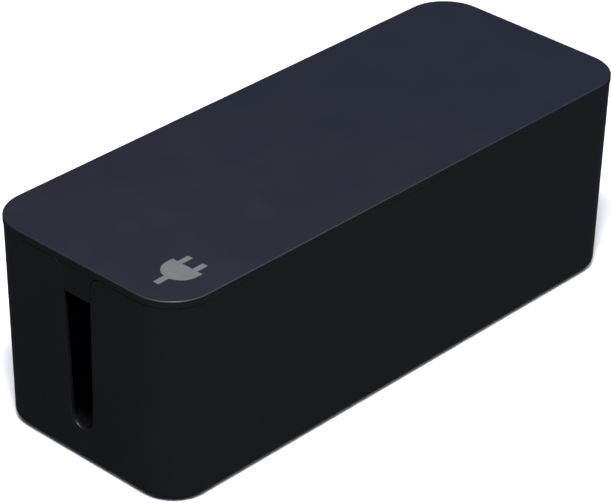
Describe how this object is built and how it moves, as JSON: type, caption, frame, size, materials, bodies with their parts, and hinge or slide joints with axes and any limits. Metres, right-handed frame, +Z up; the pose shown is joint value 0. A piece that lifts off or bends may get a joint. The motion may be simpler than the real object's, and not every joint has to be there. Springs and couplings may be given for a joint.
{
  "type": "cable management box",
  "caption": "Closed cable management box: a deep rounded plastic tub with a cable slot in each end, a flat lift-off lid whose tabs close the slots, and rubber feet.",
  "frame": {"origin": "on the ground under the middle of the box, where the feet stand", "axes": "+X along the length, towards the end away from the mark; +Z up; -Y is the side nearest the mark"},
  "size_m": [0.4, 0.1554, 0.1375],
  "materials": {
    "tub_plastic": "fine moulded texture",
    "lid_plastic": "fine moulded texture",
    "mark_ink": "stamped satin foil, flush",
    "foot_rubber": "matt"
  },
  "bodies": {
    "base": {"tub": "tub_plastic", "foot_front_left": "foot_rubber", "foot_front_right": "foot_rubber", "foot_back_left": "foot_rubber", "foot_back_right": "foot_rubber"},
    "cover": {"lid": "lid_plastic", "lid_mark": "mark_ink"}
  },
  "joints": [
    {"name": "lid_lift", "type": "slide", "parent": "base", "child": "cover", "axis": [0, 0, 1], "range_m": [0, 0.15]}
  ]
}
